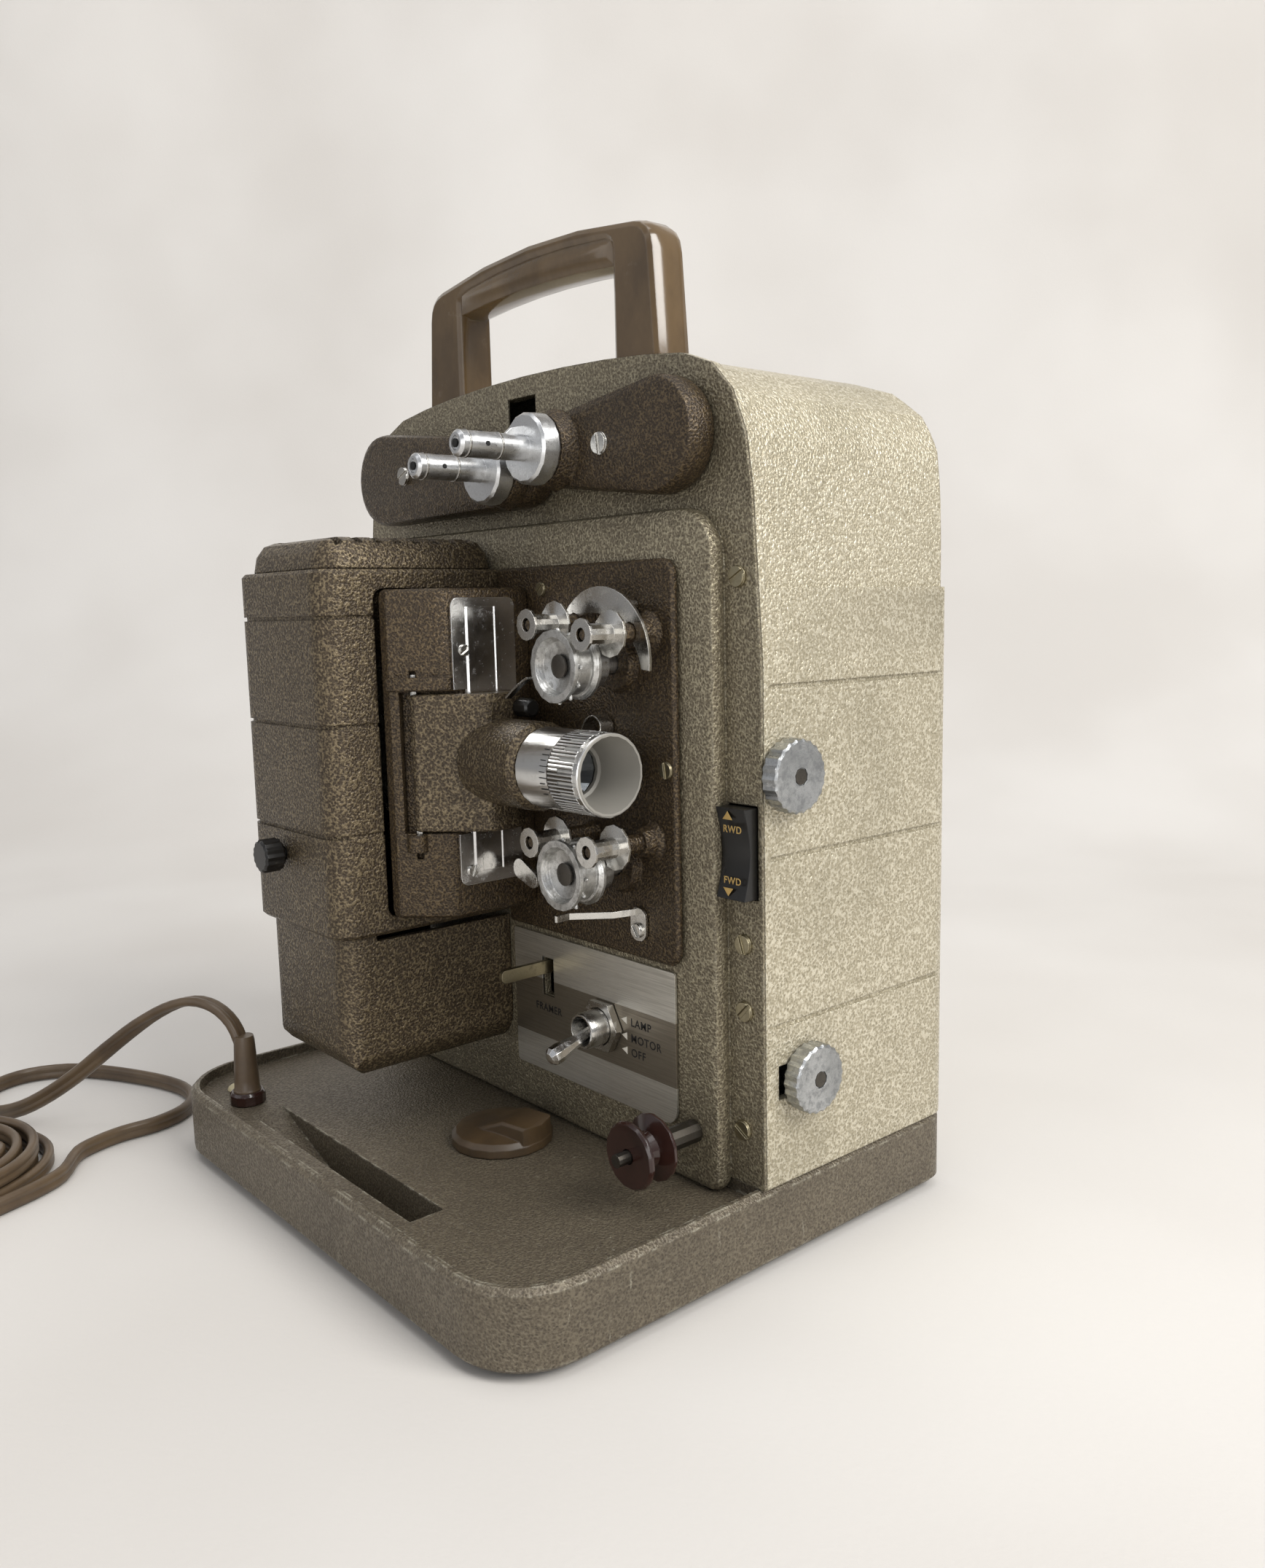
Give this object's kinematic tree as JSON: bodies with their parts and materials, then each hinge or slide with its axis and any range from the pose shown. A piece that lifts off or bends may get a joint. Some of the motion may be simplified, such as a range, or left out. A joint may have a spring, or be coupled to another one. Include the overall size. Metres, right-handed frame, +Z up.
{
  "type": "movie film projector",
  "caption": "Table-top reel-to-reel film projector: tower cover on a tray base, lamphouse, swing-out lens carrier, sprockets, folding reel arms, carry handle and mains cord.",
  "frame": {"origin": "centre of the footprint of base and knobs on the table plane, cord left out", "axes": "+X the way the lens points, -Y the operator's side with the film path, +Z up"},
  "size_m": [0.3345, 0.327, 0.316],
  "materials": {
    "brown_hammertone": "brown hammertone enamel on die-cast metal, worn at the edges",
    "olive_hammertone": "olive-grey hammertone enamel",
    "dark_hammertone": "dark brown hammertone enamel",
    "beige_hammertone": "beige hammertone enamel on sheet metal",
    "aluminium": "machined or satin aluminium",
    "steel": "plated steel",
    "dark_steel": "dark blued steel",
    "chrome": "polished chrome plate",
    "brass": "tarnished plated brass strip",
    "brown_plastic": "glossy brown moulded plastic",
    "tan_plastic": "tan moulded plastic",
    "maroon_plastic": "dark maroon moulded plastic",
    "black_plastic": "black moulded plastic",
    "brown_vinyl": "brown vinyl twin-lead sheath",
    "black_rubber": "black rubber",
    "glass": "clear glass"
  },
  "bodies": {
    "chassis": {"base_casting": "brown_hammertone", "bottom_cover": "dark_steel", "rubber_foot_1": "black_rubber", "rubber_foot_2": "black_rubber", "rubber_foot_3": "black_rubber", "rubber_foot_4": "black_rubber", "case_cover": "beige_hammertone", "faceplate": "olive_hammertone", "mechanism_plate": "dark_hammertone", "nameplate": "aluminium", "switch_bushing": "steel", "switch_nut": "steel", "upper_film_guard": "steel", "lower_film_stripper": "steel", "film_tab": "steel", "idler_post": "dark_steel", "gate_housing": "dark_hammertone", "gate_plate": "chrome", "carrier_hinge_pin": "steel", "lamphouse_base": "brown_hammertone", "lamp_socket": "black_plastic", "lamp": "glass", "lamp_reflector": "chrome", "condenser_lens": "glass", "drive_frame": "steel", "motor": "dark_steel", "carry_handle": "brown_plastic", "cord_bush": "maroon_plastic", "cord": "brown_vinyl", "cord_coil": "brown_vinyl", "plug": "brown_plastic"},
    "tilt_knob": {"tilt_knob": "tan_plastic"},
    "tilt_foot": {"tilt_foot": "black_rubber"},
    "toggle_lever": {"toggle_lever": "chrome"},
    "framer_lever": {"framer_lever": "brass"},
    "direction_rocker": {"direction_rocker": "black_plastic"},
    "inching_knob": {"inching_knob": "aluminium"},
    "speed_knob": {"speed_knob": "aluminium"},
    "upper_sprocket": {"upper_sprocket": "aluminium"},
    "lower_sprocket": {"lower_sprocket": "aluminium"},
    "upper_roller_right": {"upper_roller_right": "steel"},
    "upper_roller_left": {"upper_roller_left": "steel"},
    "lower_roller_right": {"lower_roller_right": "steel"},
    "lower_roller_left": {"lower_roller_left": "steel"},
    "idler_pulley": {"idler_pulley": "maroon_plastic"},
    "lens_carrier": {"lens_carrier": "brown_hammertone"},
    "gate_latch": {"gate_latch": "black_plastic"},
    "lamphouse_screw": {"lamphouse_screw": "black_plastic"},
    "blower_wheel": {"blower_wheel": "aluminium"},
    "shutter": {"shutter": "dark_steel"},
    "supply_arm": {"supply_arm": "dark_hammertone"},
    "take_up_arm": {"take_up_arm": "dark_hammertone"},
    "supply_spindle": {"supply_spindle": "aluminium"},
    "take_up_spindle": {"take_up_spindle": "aluminium"},
    "lens": {"lens_mount": "aluminium", "front_lens": "glass"},
    "lamphouse_top": {"lamphouse_cover": "brown_hammertone", "lamphouse_cap": "brown_hammertone"}
  },
  "joints": [
    {"name": "tilt_turn", "type": "hinge", "parent": "chassis", "child": "tilt_knob", "pos_m": [0.01375, -0.02775, 0.022], "axis": [0, 0, 1], "range_deg": [0, 90]},
    {"name": "tilt_foot_drop", "type": "slide", "parent": "chassis", "child": "tilt_foot", "axis": [0, 0, -1], "range_m": [0, 0.01]},
    {"name": "switch_throw", "type": "hinge", "parent": "chassis", "child": "toggle_lever", "pos_m": [0.04295, -0.00875, 0.0635], "axis": [-1, 0, 0], "range_deg": [0, 32]},
    {"name": "framing_slide", "type": "slide", "parent": "chassis", "child": "framer_lever", "axis": [0, 0, -1], "range_m": [0, 0.0075]},
    {"name": "direction_rock", "type": "hinge", "parent": "chassis", "child": "direction_rocker", "pos_m": [0.09925, 0.00125, 0.127], "axis": [1, 0, 0], "range_deg": [-4, 4]},
    {"name": "inching_turn", "type": "hinge", "parent": "chassis", "child": "inching_knob", "pos_m": [0.10675, 0.01055, 0.1489], "axis": [1, 0, 0], "continuous": true},
    {"name": "speed_turn", "type": "hinge", "parent": "chassis", "child": "speed_knob", "pos_m": [0.10675, 0.01865, 0.0578], "axis": [1, 0, 0], "range_deg": [0, 270]},
    {"name": "upper_sprocket_turn", "type": "hinge", "parent": "chassis", "child": "upper_sprocket", "pos_m": [0.05645, -0.02775, 0.1806], "axis": [0, 1, 0], "continuous": true},
    {"name": "lower_sprocket_turn", "type": "hinge", "parent": "chassis", "child": "lower_sprocket", "pos_m": [0.05615, -0.02775, 0.1189], "axis": [0, 1, 0], "continuous": true},
    {"name": "upper_roller_right_turn", "type": "hinge", "parent": "chassis", "child": "upper_roller_right", "pos_m": [0.06985, -0.02775, 0.1898], "axis": [0, 1, 0], "continuous": true},
    {"name": "upper_roller_left_turn", "type": "hinge", "parent": "chassis", "child": "upper_roller_left", "pos_m": [0.04415, -0.02775, 0.1927], "axis": [0, 1, 0], "continuous": true},
    {"name": "lower_roller_right_turn", "type": "hinge", "parent": "chassis", "child": "lower_roller_right", "pos_m": [0.06965, -0.02775, 0.1276], "axis": [0, 1, 0], "continuous": true},
    {"name": "lower_roller_left_turn", "type": "hinge", "parent": "chassis", "child": "lower_roller_left", "pos_m": [0.04195, -0.02775, 0.127], "axis": [0, 1, 0], "continuous": true},
    {"name": "idler_turn", "type": "hinge", "parent": "chassis", "child": "idler_pulley", "pos_m": [0.08355, -0.02775, 0.0398], "axis": [0, 1, 0], "continuous": true},
    {"name": "carrier_swing", "type": "hinge", "parent": "chassis", "child": "lens_carrier", "pos_m": [0.00355, -0.04775, 0.15], "axis": [0, 0, -1], "range_deg": [0, 60]},
    {"name": "lens_focus", "type": "slide", "parent": "lens_carrier", "child": "lens", "axis": [1, 0, 0], "range_m": [0, 0.008]},
    {"name": "gate_latch_pull", "type": "slide", "parent": "lens_carrier", "child": "gate_latch", "axis": [1, 0, 0], "range_m": [0, 0.003]},
    {"name": "lamphouse_pull_off", "type": "slide", "parent": "chassis", "child": "lamphouse_top", "axis": [0, -1, 0], "range_m": [0, 0.08]},
    {"name": "lamphouse_screw_turn", "type": "hinge", "parent": "lamphouse_top", "child": "lamphouse_screw", "pos_m": [-0.04325, -0.07575, 0.1182], "axis": [0, 1, 0], "continuous": true},
    {"name": "blower_turn", "type": "hinge", "parent": "chassis", "child": "blower_wheel", "pos_m": [-0.03525, 0.01725, 0.092], "axis": [0, 1, 0], "continuous": true},
    {"name": "shutter_turn", "type": "hinge", "parent": "chassis", "child": "shutter", "pos_m": [0.00175, -0.02125, 0.1385], "axis": [1, 0, 0], "continuous": true},
    {"name": "supply_arm_swing", "type": "hinge", "parent": "chassis", "child": "supply_arm", "pos_m": [0.07525, -0.00575, 0.2456], "axis": [0, 1, 0], "range_deg": [0, 130]},
    {"name": "take_up_arm_swing", "type": "hinge", "parent": "chassis", "child": "take_up_arm", "pos_m": [-0.07625, -0.00575, 0.2462], "axis": [0, -1, 0], "range_deg": [0, 130]},
    {"name": "supply_spindle_turn", "type": "hinge", "parent": "supply_arm", "child": "supply_spindle", "pos_m": [0.03115, -0.02775, 0.2456], "axis": [0, 1, 0], "continuous": true},
    {"name": "take_up_spindle_turn", "type": "hinge", "parent": "take_up_arm", "child": "take_up_spindle", "pos_m": [0.00735, -0.02775, 0.2414], "axis": [0, 1, 0], "continuous": true}
  ],
  "couplings": [
    {"joint": "tilt_foot_drop", "follows": "tilt_turn", "m_per_rad": 0.00636},
    {"joint": "upper_sprocket_turn", "follows": "blower_turn", "ratio": 0.027778},
    {"joint": "lower_sprocket_turn", "follows": "blower_turn", "ratio": 0.027778},
    {"joint": "shutter_turn", "follows": "blower_turn", "ratio": 0.33333},
    {"joint": "inching_turn", "follows": "blower_turn", "ratio": 0.33333}
  ]
}
